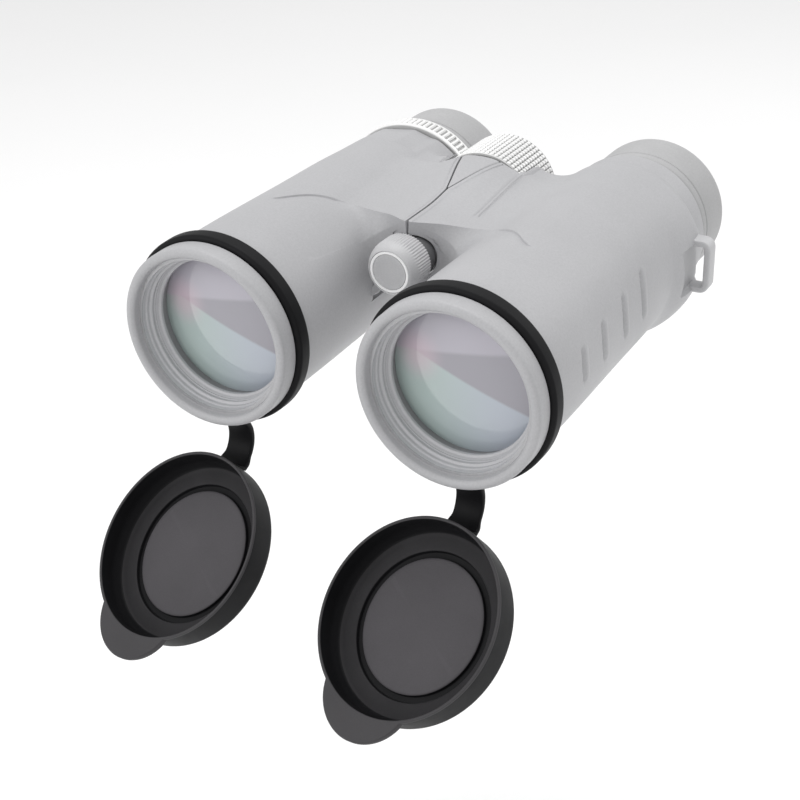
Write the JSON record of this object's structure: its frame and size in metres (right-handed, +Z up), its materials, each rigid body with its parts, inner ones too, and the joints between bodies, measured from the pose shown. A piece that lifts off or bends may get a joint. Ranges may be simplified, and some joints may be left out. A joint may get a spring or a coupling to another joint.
{
  "type": "binoculars",
  "caption": "Roof-prism binoculars with a central hinge and focus wheel, twist-up eyecups, a diopter ring and tethered objective caps hanging open.",
  "frame": {"origin": "mouth of the tripod socket, on the central hinge axis", "axes": "+Z up, -Y out of the socket and towards the objectives, +Y towards the eyepieces, +X towards the user's left barrel"},
  "size_m": [0.1338, 0.1855, 0.1076],
  "materials": {
    "armour_rubber": "satin",
    "eyecup_rubber": "matte",
    "cap_rubber": "matte",
    "grey_plastic": "satin",
    "housing_alloy": "satin",
    "satin_metal": "knurled",
    "black_metal": "matte black anodised",
    "steel": "satin",
    "brass": "machined",
    "glass": "polished",
    "coated_glass": "coated",
    "white_paint": "gloss"
  },
  "bodies": {
    "frame": {"hinge_axle": "steel", "hinge_cover": "grey_plastic", "hinge_washers": "grey_plastic", "hinge_nut": "steel", "axle_screw": "steel"},
    "cover_seal": {"cover_seal": "cap_rubber"},
    "tripod_cover": {"tripod_cover": "grey_plastic", "cover_inlay": "white_paint"},
    "focus_wheel": {"focus_wheel": "satin_metal", "focus_screw": "brass", "wheel_cap": "grey_plastic"},
    "focus_carriage": {"focus_carriage": "brass"},
    "left_barrel": {"left_barrel_housing": "housing_alloy", "left_rubber_armour": "armour_rubber", "left_strap_lug": "grey_plastic", "left_objective_cell": "black_metal", "left_objective_retainer": "grey_plastic", "left_crown_lens": "coated_glass", "left_flint_lens": "coated_glass", "left_guide_rod": "steel", "left_prism_holder": "black_metal", "left_half_prism": "glass", "left_roof_prism": "glass", "left_eyepiece_tube": "black_metal", "left_field_lens": "glass", "left_eye_lens": "coated_glass"},
    "left_focus_cell": {"left_focus_cell": "black_metal", "left_focus_lens": "glass"},
    "left_eyecup_sleeve": {"left_eyecup_sleeve": "black_metal"},
    "left_eyecup": {"left_eyecup_core": "grey_plastic", "left_eyecup_rubber": "eyecup_rubber"},
    "left_cap_ring": {"left_cap_ring": "cap_rubber", "left_cap_tether": "cap_rubber"},
    "left_cap": {"left_objective_cap": "cap_rubber"},
    "right_barrel": {"right_barrel_housing": "housing_alloy", "right_rubber_armour": "armour_rubber", "right_strap_lug": "grey_plastic", "right_objective_cell": "black_metal", "right_objective_retainer": "grey_plastic", "right_crown_lens": "coated_glass", "right_flint_lens": "coated_glass", "right_guide_rod": "steel", "right_prism_holder": "black_metal", "right_half_prism": "glass", "right_roof_prism": "glass"},
    "right_ocular": {"right_eyepiece_tube": "black_metal", "right_field_lens": "glass", "right_eye_lens": "coated_glass"},
    "diopter_ring": {"diopter_ring": "satin_metal"},
    "right_focus_cell": {"right_focus_cell": "black_metal", "right_focus_lens": "glass"},
    "right_eyecup_sleeve": {"right_eyecup_sleeve": "black_metal"},
    "right_eyecup": {"right_eyecup_core": "grey_plastic", "right_eyecup_rubber": "eyecup_rubber"},
    "right_cap_ring": {"right_cap_ring": "cap_rubber", "right_cap_tether": "cap_rubber"},
    "right_cap": {"right_objective_cap": "cap_rubber"}
  },
  "joints": [
    {"name": "right_fold", "type": "hinge", "parent": "frame", "child": "right_barrel", "pos_m": [0, 0, 0], "axis": [0, -1, 0], "range_deg": [0, 25.5]},
    {"name": "left_fold", "type": "hinge", "parent": "frame", "child": "left_barrel", "pos_m": [0, 0, 0], "axis": [0, 1, 0], "range_deg": [0, 25.5]},
    {"name": "left_ring_turn", "type": "hinge", "parent": "left_barrel", "child": "left_cap_ring", "pos_m": [0.03667, -0.0305, -0.0118], "axis": [0, 1, 0], "range_deg": [-25.5, 0]},
    {"name": "left_cap_flip", "type": "hinge", "parent": "left_cap_ring", "child": "left_cap", "pos_m": [0.03667, -0.0342, -0.0442], "axis": [-0.993, 0.1184, 0], "range_deg": [-25, 133.5], "stiffness_Nm_per_rad": 0.004, "springref_deg": 16.04, "deforming": ["left_cap_tether"]},
    {"name": "right_ring_turn", "type": "hinge", "parent": "right_barrel", "child": "right_cap_ring", "pos_m": [-0.03667, -0.0305, -0.0118], "axis": [0, -1, 0], "range_deg": [-25.5, 0]},
    {"name": "right_cap_flip", "type": "hinge", "parent": "right_cap_ring", "child": "right_cap", "pos_m": [-0.03667, -0.0342, -0.0442], "axis": [-0.993, 0.1184, 0], "range_deg": [-25, 133.5], "stiffness_Nm_per_rad": 0.004, "springref_deg": 16.04, "deforming": ["right_cap_tether"]},
    {"name": "focus_wheel_turn", "type": "hinge", "parent": "frame", "child": "focus_wheel", "pos_m": [0, 0.063, 0], "axis": [0, 1, 0], "range_deg": [-270.1, 270.1]},
    {"name": "carriage_slide", "type": "slide", "parent": "frame", "child": "focus_carriage", "axis": [0, 1, 0], "range_m": [-0.003, 0.003]},
    {"name": "left_focus_slide", "type": "slide", "parent": "left_barrel", "child": "left_focus_cell", "axis": [0, 1, 0], "range_m": [-0.003, 0.003]},
    {"name": "right_focus_slide", "type": "slide", "parent": "right_barrel", "child": "right_focus_cell", "axis": [0, 1, 0], "range_m": [-0.003, 0.003]},
    {"name": "diopter_turn", "type": "hinge", "parent": "right_barrel", "child": "diopter_ring", "pos_m": [-0.03667, 0.0783, -0.0118], "axis": [0, 1, 0], "range_deg": [-45.1, 45.1]},
    {"name": "right_ocular_slide", "type": "slide", "parent": "right_barrel", "child": "right_ocular", "axis": [0, 1, 0], "range_m": [-0.0009, 0.0009]},
    {"name": "left_eyecup_turn", "type": "hinge", "parent": "left_barrel", "child": "left_eyecup_sleeve", "pos_m": [0.03667, 0.089, -0.0118], "axis": [0, 1, 0], "range_deg": [0, 180.1]},
    {"name": "left_eyecup_slide", "type": "slide", "parent": "left_eyecup_sleeve", "child": "left_eyecup", "axis": [0, 1, 0], "range_m": [0, 0.008]},
    {"name": "right_eyecup_turn", "type": "hinge", "parent": "right_barrel", "child": "right_eyecup_sleeve", "pos_m": [-0.03667, 0.089, -0.0118], "axis": [0, 1, 0], "range_deg": [0, 180.1]},
    {"name": "right_eyecup_slide", "type": "slide", "parent": "right_eyecup_sleeve", "child": "right_eyecup", "axis": [0, 1, 0], "range_m": [0, 0.008]},
    {"name": "cover_slide", "type": "slide", "parent": "frame", "child": "cover_seal", "axis": [0, -1, 0], "range_m": [0, 0.04]},
    {"name": "cover_turn", "type": "hinge", "parent": "cover_seal", "child": "tripod_cover", "pos_m": [0, 0, 0], "axis": [0, -1, 0], "range_deg": [0, 3600.5]}
  ],
  "couplings": [
    {"joint": "left_fold", "follows": "right_fold", "ratio": 1},
    {"joint": "left_ring_turn", "follows": "right_fold", "ratio": -1},
    {"joint": "right_ring_turn", "follows": "right_fold", "ratio": -1},
    {"joint": "focus_wheel_turn", "follows": "carriage_slide", "rad_per_m": 1570.8},
    {"joint": "left_focus_slide", "follows": "carriage_slide", "ratio": 1},
    {"joint": "right_focus_slide", "follows": "carriage_slide", "ratio": 1},
    {"joint": "diopter_turn", "follows": "right_ocular_slide", "rad_per_m": 872.66},
    {"joint": "left_eyecup_turn", "follows": "left_eyecup_slide", "rad_per_m": 392.7},
    {"joint": "right_eyecup_turn", "follows": "right_eyecup_slide", "rad_per_m": 392.7},
    {"joint": "cover_turn", "follows": "cover_slide", "rad_per_m": 1570.8}
  ]
}
